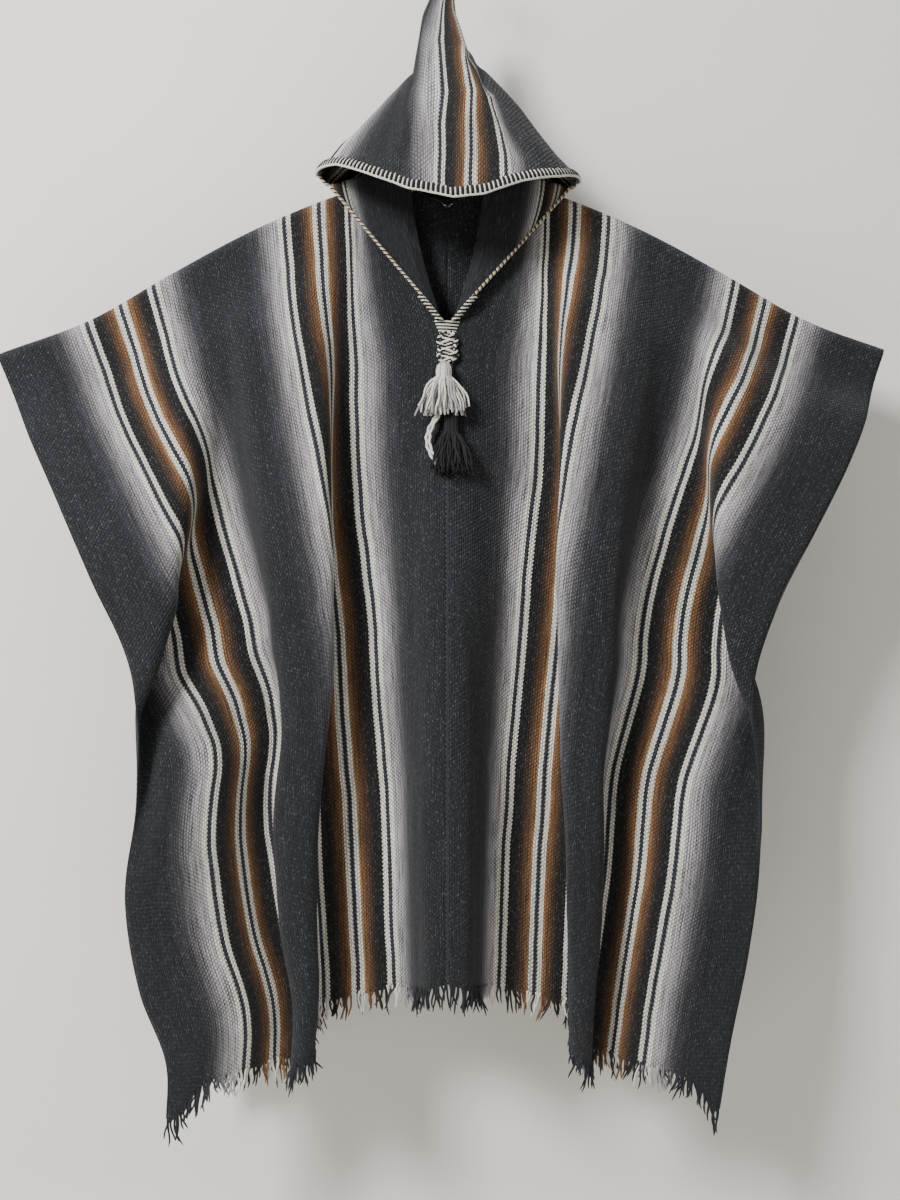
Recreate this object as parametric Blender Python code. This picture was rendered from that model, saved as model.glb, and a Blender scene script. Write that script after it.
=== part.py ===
import bpy
import bmesh
import random
import numpy as np
from math import pi
from mathutils import Matrix, Vector

for old in list(bpy.data.objects):
    bpy.data.objects.remove(old)

part = bpy.data.collections.new("hooded_poncho")
cutters = bpy.data.collections.new("cutters")
for group in (part, cutters):
    bpy.context.scene.collection.children.link(group)

CLOTH = 0.0024
PANEL_WIDTH = 0.550
DROP = 0.935
SEAM = 0.0003
RIDGE_RADIUS = 0.0115
SLIT_FRONT = 0.215
SLIT_BACK = 0.060
SLIT_HALF_WIDTH = 0.046

# shoulder fold line, out from the neck: x, z
SHOULDER = ((0.046, -0.290), (0.145, -0.322), (0.236, -0.361), (0.327, -0.410), (0.418, -0.462),
            (0.520, -0.500))

# heights down the panel at which a fold gives its angle
STATIONS = (0.0, 0.15, 0.30, 0.45, 0.60, 0.75, 0.935)

# fold: place across the panel at top and hem, half width at top and hem, turn in degrees at each station
FOLDS_LEFT = (
    (0.055, 0.055, 0.055, 0.055, (0, 0, -15, -42, -58, -68, -74)),
    (0.115, 0.245, 0.030, 0.046, (0, 42, 88, 109, 108, 106, 102)),
    (0.275, 0.340, 0.040, 0.046, (0, -30, -70, -85, -93, -96, -94)),
    (0.230, 0.800, 0.040, 0.050, (0, 25, 85, 110, 100, 90, 70)),
    (0.400, 0.405, 0.060, 0.062, (0, 0, 0, 15, 58, 52, 40)),
)
FOLDS_RIGHT = (
    (0.055, 0.055, 0.055, 0.055, (0, 0, -15, -42, -58, -70, -76)),
    (0.120, 0.235, 0.032, 0.045, (0, 58, 98, 112, 106, 102, 100)),
    (0.275, 0.330, 0.040, 0.045, (0, -30, -70, -84, -88, -92, -92)),
    (0.285, 0.727, 0.040, 0.050, (0, 50, 95, 118, 115, 90, 70)),
    (0.400, 0.400, 0.060, 0.060, (0, 0, 0, 0, 20, 35, 35)),
)

# outer edge of each panel: distance down the panel, x
EDGE_LEFT = ((0.0, 0.530), (0.106, 0.487), (0.209, 0.440), (0.307, 0.396), (0.435, 0.342),
             (0.55, 0.338), (0.68, 0.352), (0.78, 0.338), (0.87, 0.310), (0.935, 0.312))
EDGE_RIGHT = ((0.0, 0.514), (0.081, 0.486), (0.157, 0.455), (0.259, 0.409), (0.357, 0.365),
              (0.457, 0.338), (0.55, 0.348), (0.65, 0.350), (0.75, 0.335), (0.85, 0.315), (0.935, 0.302))


def smooth(t):
    t = np.clip(t, 0.0, 1.0)
    return t * t * (3.0 - 2.0 * t)


def cubic(x, xs, ys):
    xs, ys = np.asarray(xs, float), np.asarray(ys, float)
    step = np.diff(xs)
    rise = np.diff(ys) / step
    slope = np.empty(len(xs))
    slope[0], slope[-1] = rise[0], rise[-1]
    slope[1:-1] = (rise[:-1] * step[1:] + rise[1:] * step[:-1]) / (step[:-1] + step[1:])
    i = np.clip(np.searchsorted(xs, x) - 1, 0, len(step) - 1)
    t = (x - xs[i]) / step[i]
    return (ys[i] * (1 + 2 * t) * (1 - t) ** 2 + slope[i] * step[i] * t * (1 - t) ** 2
            + ys[i + 1] * t * t * (3 - 2 * t) + slope[i + 1] * step[i] * t * t * (t - 1))


def soften(rows, times):
    for _ in range(times):
        wide = np.concatenate([2 * rows[:1] - rows[1:2], rows, 2 * rows[-1:] - rows[-2:-1]])
        rows = (wide[:-2] + 2 * wide[1:-1] + wide[2:]) / 4
    return rows


class Drape:
    """One face of a panel, hung from its shoulder fold: u runs out from the seam, v down from the fold."""

    def __init__(self, folds, edge, side, face, slit, hem_depth, sharp, relief, inset):
        self.u = np.linspace(0.0, PANEL_WIDTH, 107)
        self.v = np.linspace(0.0, DROP + 0.040, 118)
        across, down = np.meshgrid(self.u, self.v, indexing="ij")
        turn = np.zeros_like(across)
        for u_top, u_hem, wide_top, wide_hem, angles in folds:
            share = down / DROP
            middle = u_top + (u_hem - u_top) * share
            reach = np.abs(across - middle) / (wide_top + (wide_hem - wide_top) * share)
            angle = np.radians(cubic(np.minimum(down, DROP), STATIONS, angles))
            turn += sharp * angle * (1 - smooth((reach - 0.30) / 0.90))
        turn *= smooth(across / 0.035)
        ridge_x, ridge_z = np.array(SHOULDER).T
        run = np.concatenate([[0.0], np.cumsum(np.hypot(np.diff(ridge_x), np.diff(ridge_z)))])
        z_top = cubic(self.u, run, ridge_z)
        parting = SLIT_HALF_WIDTH * smooth(1 - self.v / slit) ** 0.5 + SEAM / 2 + 0.0001
        du, dv = self.u[1], self.v[1]
        z = z_top[:, None] - down
        nought_u, nought_v = np.zeros((1, len(self.v))), np.zeros((len(self.u), 1))
        for _ in range(5):
            lean = np.sqrt(np.clip(1 - np.gradient(z, du, axis=0) ** 2, 0.05, 1))
            step_x, step_y = np.cos(turn) * lean, np.sin(turn) * lean
            x = np.concatenate([nought_u, np.cumsum((step_x[1:] + step_x[:-1]) / 2 * du, axis=0)])
            y = np.concatenate([nought_u, np.cumsum((step_y[1:] + step_y[:-1]) / 2 * du, axis=0)])
            x += parting[None] * (1 - smooth(across / 0.14)) + 0.006 * smooth(across / 0.14)
            miss = cubic(np.minimum(self.v, DROP), *np.array(edge).T) - inset - x[-1]
            x += miss[None] * smooth((across / PANEL_WIDTH - 0.15) / 0.85)
            z_top = cubic(x[:, 0], ridge_x, ridge_z)
            y = (y - 0.5 * y.mean(0)) * relief * smooth((down - 0.020) / 0.10)
            slope = np.gradient(x, dv, axis=1) ** 2 + np.gradient(y, dv, axis=1) ** 2
            fall = np.sqrt(np.clip(1 - slope, 0.15, 1))
            z = z_top[:, None] - np.concatenate(
                [nought_v, np.cumsum((fall[:, 1:] + fall[:, :-1]) / 2 * dv, axis=1)], axis=1)
            z = soften(z, 6)
        clear = soften(np.minimum(y.min(0), 0.0), 20)
        y = y - clear[None] * smooth((down - 0.020) / 0.12)
        base = RIDGE_RADIUS + hem_depth * smooth(self.v / DROP)
        self.face = face
        self.x, self.y, self.z = side * x, face * (y + base[None]), z + RIDGE_RADIUS * (pi / 2 - 1)
        weight = 1 + 0.045 * np.abs(np.gradient(turn, du, axis=0))
        self.effort = np.concatenate([nought_u, np.cumsum((weight[1:] + weight[:-1]) / 2, axis=0)])

    def spread(self, shares, v):
        """Places across the sheet, closer together where it bends, for shares from 0 to 1."""
        j = int(round(min(abs(v) / self.v[1], len(self.v) - 1)))
        places = np.interp(shares * self.effort[-1, j], self.effort[:, j], self.u)
        places[1] = 0.005
        return places

    def at(self, u, v):
        a = np.clip(np.asarray(u, float) / self.u[1], 0, len(self.u) - 1.000001)
        b = np.clip(np.asarray(v, float) / self.v[1], 0, len(self.v) - 1.000001)
        i, j = a.astype(int), b.astype(int)
        a, b = a - i, b - j
        x, y, z = ((f[i, j] * (1 - a) + f[i + 1, j] * a) * (1 - b)
                   + (f[i, j + 1] * (1 - a) + f[i + 1, j + 1] * a) * b for f in (self.x, self.y, self.z))
        bend = np.minimum(np.asarray(v, float) / RIDGE_RADIUS, pi / 2)
        y = y - self.face * RIDGE_RADIUS * (1 - np.sin(bend))
        z = z + RIDGE_RADIUS * (bend + np.cos(bend) - pi / 2)
        return np.stack([x, y, z], -1)


class Panel:
    def __init__(self, folds, edge, side):
        self.front = Drape(folds, edge, side, -1, SLIT_FRONT, 0.030, 1.0, 1.0, 0.0)
        self.back = Drape(folds, edge, side, 1, SLIT_BACK, 0.012, 0.75, 0.60, 0.008)

    def at(self, u, v):
        v = np.asarray(v, float)
        return np.where((v >= 0)[..., None], self.front.at(u, np.abs(v)), self.back.at(u, np.abs(v)))


left = Panel(FOLDS_LEFT, EDGE_LEFT, -1)
right = Panel(FOLDS_RIGHT, EDGE_RIGHT, 1)
for one, two in ((left.front, right.front), (left.back, right.back)):
    seam = {axis: (getattr(one, axis)[0] + getattr(two, axis)[0]) / 2 for axis in ("y", "z")}
    for sheet in (one, two):
        fade = (1 - smooth(sheet.u / 0.12))[:, None]
        for axis, line in seam.items():
            places = getattr(sheet, axis)
            places += (line - places[0])[None] * fade


def finish(name, bm, color, metallic=0.0, rough=0.9):
    bmesh.ops.remove_doubles(bm, verts=bm.verts, dist=1e-6)
    bmesh.ops.recalc_face_normals(bm, faces=bm.faces)
    if bm.calc_volume(signed=True) < 0:
        bmesh.ops.reverse_faces(bm, faces=bm.faces)
    mesh = bpy.data.meshes.new(name)
    bm.to_mesh(mesh)
    bm.free()
    obj = bpy.data.objects.new(name, mesh)
    part.objects.link(obj)
    mat = bpy.data.materials.new(name + "_finish")
    mat.use_nodes = True
    shader = mat.node_tree.nodes["Principled BSDF"]
    shader.inputs["Base Color"].default_value = (*color, 1.0)
    shader.inputs["Metallic"].default_value = metallic
    shader.inputs["Roughness"].default_value = rough
    mat.diffuse_color = (*color, 1.0)
    mesh.materials.append(mat)
    return obj


def wall(points, quads, thick):
    """A cloth wall: the sheet's points moved out and in by half the thickness, its free edges closed."""
    points = np.asarray(points, float)
    normals = np.zeros_like(points)
    for quad in quads:
        a, b, c, d = points[list(quad)]
        normals[list(quad)] += np.cross(c - a, d - b)
    normals /= np.linalg.norm(normals, axis=1)[:, None]
    bm = bmesh.new()
    outer = [bm.verts.new(p) for p in points + normals * thick / 2]
    inner = [bm.verts.new(p) for p in points - normals * thick / 2]
    edges = {(q[k], q[(k + 1) % 4]) for q in quads for k in range(4)}
    for quad in quads:
        bm.faces.new([outer[k] for k in quad])
        bm.faces.new([inner[k] for k in reversed(quad)])
    for a, b in edges:
        if (b, a) not in edges:
            bm.faces.new((outer[b], outer[a], inner[a], inner[b]))
    return bm, points + normals * thick / 2, points - normals * thick / 2


def grid(columns, rows, start=0):
    return [(start + i * rows + j, start + i * rows + j + 1, start + (i + 1) * rows + j + 1,
             start + (i + 1) * rows + j) for i in range(columns - 1) for j in range(rows - 1)]


# Panels, each one loom width from the front hem over the shoulder to the back hem
COLUMNS = 26
ROWS_FRONT = 17
ROWS_BACK = 9
over_ridge = RIDGE_RADIUS * pi / 2 * np.array([-1.0, -0.66, -0.33, 0.0, 0.33, 0.66, 1.0])
down_front = np.concatenate([np.linspace(over_ridge[-1], SLIT_FRONT, 7)[1:],
                             np.linspace(SLIT_FRONT, DROP, ROWS_FRONT)[1:]])
down_back = -np.concatenate([np.linspace(over_ridge[-1], SLIT_BACK, 4)[1:],
                             np.linspace(SLIT_BACK, DROP, ROWS_BACK)[1:]])[::-1]
v_rows = np.concatenate([down_back, over_ridge, down_front])
shares = np.linspace(0.0, 1.0, COLUMNS)
hems = {}
for name, panel in (("panel_left", left), ("panel_right", right)):
    sheet = np.stack([panel.at((panel.front if v >= 0 else panel.back).spread(shares, v), np.full(COLUMNS, v))
                      for v in v_rows], 1)
    bm, outer, inner = wall(sheet.reshape(-1, 3), grid(COLUMNS, len(v_rows)), CLOTH)
    finish(name, bm, (0.06, 0.065, 0.075))
    rows = len(v_rows)
    hems[name] = {"front": (outer[rows - 1::rows], inner[rows - 1::rows]),
                  "back": (outer[::rows], inner[::rows])}


# Hood, a cone of cloth that hangs from its peak, its rim falling in front and its foot sewn to the neck slit
HOOD_LEVEL = -0.294
# height, half width left and right, depth in front and behind
HOOD_ROWS = np.array((
    (-0.068, 0.014, 0.006, 0.006, 0.006),
    (-0.103, 0.0285, 0.009, 0.014, 0.012),
    (-0.146, 0.0365, 0.023, 0.030, 0.018),
    (-0.165, 0.040, 0.045, 0.038, 0.020),
    (-0.184, 0.058, 0.064, 0.046, 0.024),
    (-0.210, 0.081, 0.088, 0.058, 0.027),
    (-0.236, 0.105, 0.108, 0.070, 0.030),
    (-0.262, 0.127, 0.128, 0.082, 0.032),
    (HOOD_LEVEL, 0.152, 0.154, 0.094, 0.034),
))
# the rim across the face: x, z
HOOD_RIM = np.array(((-0.152, -0.294), (-0.124, -0.301), (-0.081, -0.3225), (-0.040, -0.341), (0.007, -0.351),
                     (0.040, -0.3465), (0.083, -0.328), (0.1265, -0.314), (0.154, -0.302)))
# foot of the hood: share of a quarter turn from the back, place along the neck slit
HOOD_SEAM = np.array(((0.0, -0.056), (0.24, -0.046), (0.42, -0.032), (0.49, -0.018), (0.53, -0.012),
                      (0.57, -0.006), (0.61, 0.0), (0.65, 0.006), (0.69, 0.012), (0.73, 0.018),
                      (0.79, 0.060), (0.86, 0.112), (0.93, 0.158), (1.0, 0.190)))
HOOD_FACE = 15
HOOD_DOWN = 11
HOOD_FOOT = 6


def hood_point(turn, share):
    level = HOOD_ROWS[0, 0] + (HOOD_LEVEL - HOOD_ROWS[0, 0]) * share
    sizes = [np.interp(-level, -HOOD_ROWS[:, 0], HOOD_ROWS[:, k]) for k in (1, 2, 3, 4)]
    wide_left, wide_right, ahead, behind = sizes
    x = np.sin(turn) * (wide_right if np.sin(turn) > 0 else wide_left)
    y = np.cos(turn) * (behind if np.cos(turn) > 0 else ahead) - 0.010 * share * (1 - np.cos(turn))
    drop = np.interp(x, *HOOD_RIM.T) - HOOD_LEVEL
    if np.cos(turn) > 0:
        drop *= np.sin(turn) ** 4
    return Vector((x, y, level + drop * share ** 2))


def panel_y(x, z, ahead):
    panel = left if x < 0 else right
    near = panel.front if ahead else panel.back
    hung = near.v > 0.020
    pull = np.exp(-((near.x - x) ** 2 + (near.z - z) ** 2)[:, hung] / (2 * 0.009 ** 2)) + 1e-12
    return float((pull * near.y[:, hung]).sum() / pull.sum())


def neck_point(turn, lift):
    panel = left if turn < 0 else right
    share = abs(turn) / (pi / 2)
    v = float(np.interp(share, *HOOD_SEAM.T))
    place = Vector(panel.at(0.0, v))
    along = Vector(panel.at(0.0, v + 0.004)) - Vector(panel.at(0.0, v - 0.004))
    bend = np.clip(v / RIDGE_RADIUS, -pi / 2, pi / 2)
    out = Vector((0.0, -np.sin(bend), np.cos(bend)))
    inward = out.cross(along).normalized()
    if inward.x * place.x > 0:
        inward.negate()
    return place + inward * (CLOTH / 2 + SEAM + 0.0007) + out * lift


half_turns = pi / 2 * HOOD_SEAM[:, 0]
back_turns = np.concatenate([-half_turns[:0:-1], half_turns])
face_turns = np.linspace(pi / 2, 3 * pi / 2, HOOD_FACE + 1)[1:-1]
turns = np.concatenate([back_turns, face_turns])
points = [hood_point(turn, j / HOOD_DOWN) for turn in turns for j in range(HOOD_DOWN + 1)]
ring = HOOD_DOWN + 1
quads = []
for i in range(len(turns)):
    k = (i + 1) % len(turns)
    quads += [(i * ring + j, i * ring + j + 1, k * ring + j + 1, k * ring + j) for j in range(HOOD_DOWN)]
foot = len(points)
for turn in back_turns:
    top, low, end = hood_point(turn, 1.0), neck_point(turn, 0.006), neck_point(turn, 0.0)
    share = abs(turn) / (pi / 2)
    for j in range(1, HOOD_FOOT):
        way = j / (HOOD_FOOT - 1)
        p = top.lerp(low, way)
        p.z -= 0.004 * (1 - share ** 8) * np.sin(pi * way ** 0.45)
        shoulder = float(cubic(max(abs(p.x), SHOULDER[0][0]), *np.array(SHOULDER).T))
        past = smooth((shoulder + 0.016 - p.z) / 0.010) 
        if j < HOOD_FOOT - 1 and share > 0.62:
            p.y += (min(p.y, panel_y(p.x, p.z, True) - 0.007 - 0.020 * (share - 0.6)) - p.y) * past
        elif j < HOOD_FOOT - 1 and share < 0.60:
            p.y += (max(p.y, panel_y(p.x, p.z, False) + 0.006) - p.y) * past
        elif j < HOOD_FOOT - 1:
            p.z = max(p.z, shoulder + 0.007)
        points.append(p)
    points.append(end)


def foot_index(i, j):
    return i * ring + HOOD_DOWN if j == 0 else foot + i * HOOD_FOOT + j - 1


for i in range(len(back_turns) - 1):
    for j in range(HOOD_FOOT):
        quads.append((foot_index(i, j), foot_index(i, j + 1), foot_index(i + 1, j + 1), foot_index(i + 1, j)))
bm, _, _ = wall([tuple(p) for p in points], quads, CLOTH)
finish("hood", bm, (0.09, 0.09, 0.10))


def loft(rings):
    """A closed solid through rings of points, capped at both ends."""
    bm = bmesh.new()
    loops = [[bm.verts.new(p) for p in ring] for ring in rings]
    for a, b in zip(loops, loops[1:]):
        for k in range(len(a)):
            bm.faces.new((a[k - 1], a[k], b[k], b[k - 1]))
    bm.faces.new(loops[0])
    bm.faces.new(reversed(loops[-1]))
    return bm


# Join under the slit and the two tassels that hang from it
def seam_y(z):
    """The foremost face of the panels beside the centre seam at a height, smoothed."""
    fronts = []
    for level in z + np.linspace(-0.012, 0.012, 5):
        near = [(np.abs(sheet.x) < 0.022) & (np.abs(sheet.z - level) < 0.008)
                for sheet in (left.front, right.front)]
        fronts.append(min(sheet.y[mask].min() for sheet, mask in zip((left.front, right.front), near)))
    return float(np.mean(fronts)) - CLOTH / 2


JOIN_THICK = 0.008
JOIN_TALL = 0.036
join_top = float(left.at(0.0, SLIT_FRONT * 0.955)[2])
rings = []
for share, half in ((0.0, 0.004), (0.08, 0.009), (0.30, 0.0125), (0.50, 0.0105), (0.72, 0.013), (0.92, 0.009),
                    (1.0, 0.005)):
    deep = JOIN_THICK / 2 * (0.7 if share in (0.0, 1.0) else 1.0)
    level = join_top - JOIN_TALL * share
    middle = seam_y(level) + SEAM - JOIN_THICK / 2
    rings.append([(half * np.cos(k * pi / 6), middle + deep * np.sin(k * pi / 6), level) for k in range(12)])
finish("neck_join", loft(rings), (0.30, 0.29, 0.27))

TASSEL_SIDES = 8


def tassel(name, x, top, rows, length, spread, color, seed):
    """A round head with sixteen strands drawn out of it. Rows: distance down, radius, distance ahead."""
    rnd = random.Random(seed)
    bm = bmesh.new()
    loops = []
    for down, radius, ahead in rows:
        y = seam_y(top - down) - ahead
        turns = [k * pi / 4 for k in range(TASSEL_SIDES)]
        loops.append([bm.verts.new((x + radius * np.cos(a), y + radius * np.sin(a), top - down)) for a in turns])
    foot_y = y
    bm.faces.new(loops[0])
    bm.faces.new(reversed(loops[-1]))
    for level, (a, b) in enumerate(zip(loops, loops[1:])):
        for k in range(TASSEL_SIDES):
            base = (a[k - 1], a[k], b[k], b[k - 1])
            if level < len(loops) - 3:
                bm.faces.new(base)
                continue
            centre = sum((vert.co for vert in base), Vector()) / 4
            outer = level == len(loops) - 3
            away = Vector((centre.x - x, centre.y - foot_y, 0.0))
            away *= (spread if outer else spread * 0.6) / max(away.length, 1e-6)
            away.y *= 0.25
            reach = length * rnd.uniform(0.82, 1.0) * (0.94 if outer else 1.0)
            steps = [base]
            for share, size in ((0.35, 0.62), (1.0, 0.36)):
                goal = centre + Vector((away.x * share ** 0.8, away.y * share ** 0.6, -reach * share))
                goal.y += seam_y(goal.z) - seam_y(centre.z)
                steps.append([bm.verts.new(goal + (vert.co - centre) * size) for vert in base])
            for one, two in zip(steps, steps[1:]):
                for n in range(4):
                    bm.faces.new((one[n - 1], one[n], two[n], two[n - 1]))
            bm.faces.new(steps[-1])
    return finish(name, bm, color)


join_foot = join_top - JOIN_TALL - SEAM
tassel("tassel_light", -0.004, join_foot,
       ((0.0, 0.0025, 0.007), (0.005, 0.0070, 0.0125), (0.012, 0.0085, 0.0145), (0.017, 0.0080, 0.0145),
        (0.021, 0.0062, 0.0145), (0.0215, 0.0028, 0.0145)), 0.044, 0.017, (0.55, 0.54, 0.52), 5)
tassel("tassel_black", 0.004, join_foot,
       ((0.0, 0.0012, 0.0022), (0.035, 0.0012, 0.0022), (0.071, 0.0014, 0.0026), (0.077, 0.0062, 0.0082),
        (0.083, 0.0070, 0.0088), (0.088, 0.0056, 0.0088), (0.0885, 0.0025, 0.0088)),
       0.042, 0.012, (0.02, 0.02, 0.02), 8)

# Fringe, a narrow strip under each woven edge with its strands drawn out of the strip's lower face
STRIP = 0.0060
HEM_GAP = 0.0006
for name, panel, face, sheet, pitch, seed in (
        ("fringe_front_left", "panel_left", "front", left.front, 0.0135, 11),
        ("fringe_front_right", "panel_right", "front", right.front, 0.0135, 12),
        ("fringe_back_left", "panel_left", "back", left.back, 0.0190, 13),
        ("fringe_back_right", "panel_right", "back", right.back, 0.0190, 14)):
    rnd = random.Random(seed)
    outer, inner = hems[panel][face]
    u_hem = sheet.spread(shares, DROP)
    fall = sheet.at(u_hem, np.full(COLUMNS, DROP + 0.030)) - sheet.at(u_hem, np.full(COLUMNS, DROP))
    fall /= np.linalg.norm(fall, axis=1)[:, None]
    bm = bmesh.new()
    loops, strands = [], []
    for i in range(COLUMNS - 1):
        wide = float(np.linalg.norm((outer[i + 1] + inner[i + 1] - outer[i] - inner[i]) / 2))
        count = max(int(round(wide / pitch)), 1 if wide > 0.0045 else 0)
        marks = [0.0] + [(k + side) / count for k in range(count) for side in (0.22, 0.78)]
        for n, mark in enumerate(marks):
            out, back = (rail[i] * (1 - mark) + rail[i + 1] * mark for rail in (outer, inner))
            way = fall[i] * (1 - mark) + fall[i + 1] * mark
            loops.append([bm.verts.new(p) for p in
                          (out + way * HEM_GAP, out + way * STRIP, back + way * STRIP, back + way * HEM_GAP)])
            strands.append(Vector(way) if n % 2 == 1 else None)
    loops.append([bm.verts.new(p) for p in (outer[-1] + fall[-1] * HEM_GAP, outer[-1] + fall[-1] * STRIP,
                                            inner[-1] + fall[-1] * STRIP, inner[-1] + fall[-1] * HEM_GAP)])
    bm.faces.new(loops[0])
    bm.faces.new(loops[-1])
    for a, b, way in zip(loops, loops[1:], strands):
        for n in (0, 2, 3):
            bm.faces.new((a[n], a[(n + 1) % 4], b[(n + 1) % 4], b[n]))
        base = (a[1], b[1], b[2], a[2])
        if way is None:
            bm.faces.new(base)
            continue
        centre = sum((vert.co for vert in base), Vector()) / 4
        lean = Vector((rnd.uniform(-0.09, 0.09), rnd.uniform(-0.04, 0.04), 0.0))
        goal = centre + (way + lean) * rnd.uniform(0.013, 0.024)
        tip = [bm.verts.new(goal + (vert.co - centre) * 0.40) for vert in base]
        for n in range(4):
            bm.faces.new((base[n - 1], base[n], tip[n], tip[n - 1]))
        bm.faces.new(tip)
    finish(name, bm, (0.12, 0.12, 0.13))

# Hanger, round wooden arms under the shoulder folds and a steel hook in a hole at their middle
ARM_RADIUS = 0.0094
ARM_REACH = 0.226
ridge = np.array(SHOULDER)
arm_x = np.concatenate([[-ARM_REACH - 0.006, -ARM_REACH - 0.004], np.linspace(-ARM_REACH, ARM_REACH, 25),
                        [ARM_REACH + 0.004, ARM_REACH + 0.006]])
rings = []
for x in arm_x:
    out = abs(x)
    z = cubic(max(out, 0.046), ridge[:, 0], ridge[:, 1]) - RIDGE_RADIUS
    z += 0.0115 * (1 - min(out / 0.046, 1.0) ** 2) * 0.5
    radius = ARM_RADIUS * (1.0 if out <= ARM_REACH + 1e-6 else 0.78 if out < ARM_REACH + 0.005 else 0.40)
    rings.append([(x, radius * np.cos(k * pi / 6), z + radius * np.sin(k * pi / 6)) for k in range(12)])
arms = finish("hanger_arms", loft(rings), (0.45, 0.28, 0.15))
arm_middle = float(cubic(0.046, ridge[:, 0], ridge[:, 1])) - RIDGE_RADIUS + 0.00575

WIRE = 0.0019
HOOK_RADIUS = 0.020 + WIRE
hole = bmesh.new()
bmesh.ops.create_cone(hole, cap_ends=True, segments=16, radius1=WIRE + 0.00018, radius2=WIRE + 0.00018,
                      depth=0.030, matrix=Matrix.Translation((0.0, 0.0, arm_middle + 0.013)))
mesh = bpy.data.meshes.new("hook_hole")
hole.to_mesh(mesh)
hole.free()
cutter = bpy.data.objects.new("hook_hole", mesh)
cutters.objects.link(cutter)
cutter.hide_render = True
cutter.display_type = "WIRE"
cut = arms.modifiers.new("hook_hole", "BOOLEAN")
cut.operation = "DIFFERENCE"
cut.solver = "EXACT"
cut.object = cutter

turn_from, turn_to = -0.20 * pi, 1.12 * pi
path = [(0.0, 0.0, arm_middle - 0.0017), (0.0, 0.0, -0.160), (0.0, 0.0, -0.066)]
for k in range(7):
    share = k / 6
    path.append((HOOK_RADIUS * np.cos(turn_from) * smooth(share), 0.0,
                 -0.058 + (0.058 - 0.020 + HOOK_RADIUS * np.sin(turn_from)) * share))
for k in range(1, 17):
    turn = turn_from + (turn_to - turn_from) * k / 16
    path.append((HOOK_RADIUS * np.cos(turn), 0.0, -0.020 + HOOK_RADIUS * np.sin(turn)))
curve = bpy.data.curves.new("hanger_hook", "CURVE")
curve.dimensions = "3D"
curve.bevel_depth = WIRE
curve.bevel_resolution = 2
curve.resolution_u = 1
curve.render_resolution_u = 0
curve.use_fill_caps = True
spline = curve.splines.new("POLY")
spline.points.add(len(path) - 1)
for point, place in zip(spline.points, path):
    point.co = (*place, 1.0)
hook = bpy.data.objects.new("hanger_hook", curve)
part.objects.link(hook)
steel = bpy.data.materials.new("hanger_hook_finish")
steel.use_nodes = True
shader = steel.node_tree.nodes["Principled BSDF"]
shader.inputs["Base Color"].default_value = (0.62, 0.63, 0.65, 1.0)
shader.inputs["Metallic"].default_value = 1.0
shader.inputs["Roughness"].default_value = 0.25
steel.diffuse_color = (0.62, 0.63, 0.65, 1.0)
curve.materials.append(steel)
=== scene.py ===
import random
from math import cos, pi, sin

import bmesh
import bpy
import numpy as np
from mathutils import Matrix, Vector


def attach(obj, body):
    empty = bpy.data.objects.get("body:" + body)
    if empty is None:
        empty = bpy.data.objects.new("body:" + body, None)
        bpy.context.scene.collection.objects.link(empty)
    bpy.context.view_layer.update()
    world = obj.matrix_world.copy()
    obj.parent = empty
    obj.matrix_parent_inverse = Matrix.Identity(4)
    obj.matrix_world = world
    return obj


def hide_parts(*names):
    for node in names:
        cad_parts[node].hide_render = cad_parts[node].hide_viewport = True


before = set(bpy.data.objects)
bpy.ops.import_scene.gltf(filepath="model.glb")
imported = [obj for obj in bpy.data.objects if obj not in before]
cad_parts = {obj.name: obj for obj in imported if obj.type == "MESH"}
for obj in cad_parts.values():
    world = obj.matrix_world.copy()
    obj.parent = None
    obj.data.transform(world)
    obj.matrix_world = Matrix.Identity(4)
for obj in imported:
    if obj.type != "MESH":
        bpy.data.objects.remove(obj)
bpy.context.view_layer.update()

# Camera: straight on from the front at the height of the chest, with a narrow upright crop,
# so that the hood's peak and the hanger's hook stand just above the picture.
CAMERA_PLACE = (0.003, -1.5, -0.792)
SENSOR_WIDTH = 36
LENS = 38.16
camera = bpy.data.objects.new("camera", bpy.data.cameras.new("camera"))
bpy.context.scene.collection.objects.link(camera)
camera.location = CAMERA_PLACE
camera.rotation_euler = (pi / 2, 0, 0)
camera.data.sensor_width = SENSOR_WIDTH
camera.data.lens = LENS
bpy.context.scene.camera = camera


# Woven wool: coarse warp-faced cloth from a narrow loom. Its stripes run from hem to hem: plaited-looking
# white lines along a dark thread, black shading to brown between them, and grey shading to charcoal.
class Socket:
    """One output of a node, which takes part in sums as a number does."""

    def __init__(self, tree, output):
        self.tree, self.output = tree, output

    def math(self, operation, *others):
        return self.tree.node("ShaderNodeMath", {"operation": operation}, dict(enumerate((self, *others))))[0]

    def __add__(self, other):
        return self.math("ADD", other)

    def __mul__(self, other):
        return self.math("MULTIPLY", other)

    def __sub__(self, other):
        return self.math("SUBTRACT", other)

    def __rsub__(self, other):
        return self * -1 + other

    def __truediv__(self, other):
        return self.math("DIVIDE", other)

    __radd__, __rmul__ = __add__, __mul__

    def fade(self, start, end):
        """0 up to start and 1 past end, or the other way about where start is the larger."""
        low, high = min(start, end), max(start, end)
        share = self.tree.node("ShaderNodeMapRange", {"interpolation_type": "SMOOTHSTEP"},
                               {0: self, 1: low, 2: high, 3: 0.0, 4: 1.0})[0]
        return share if end > start else 1 - share


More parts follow.
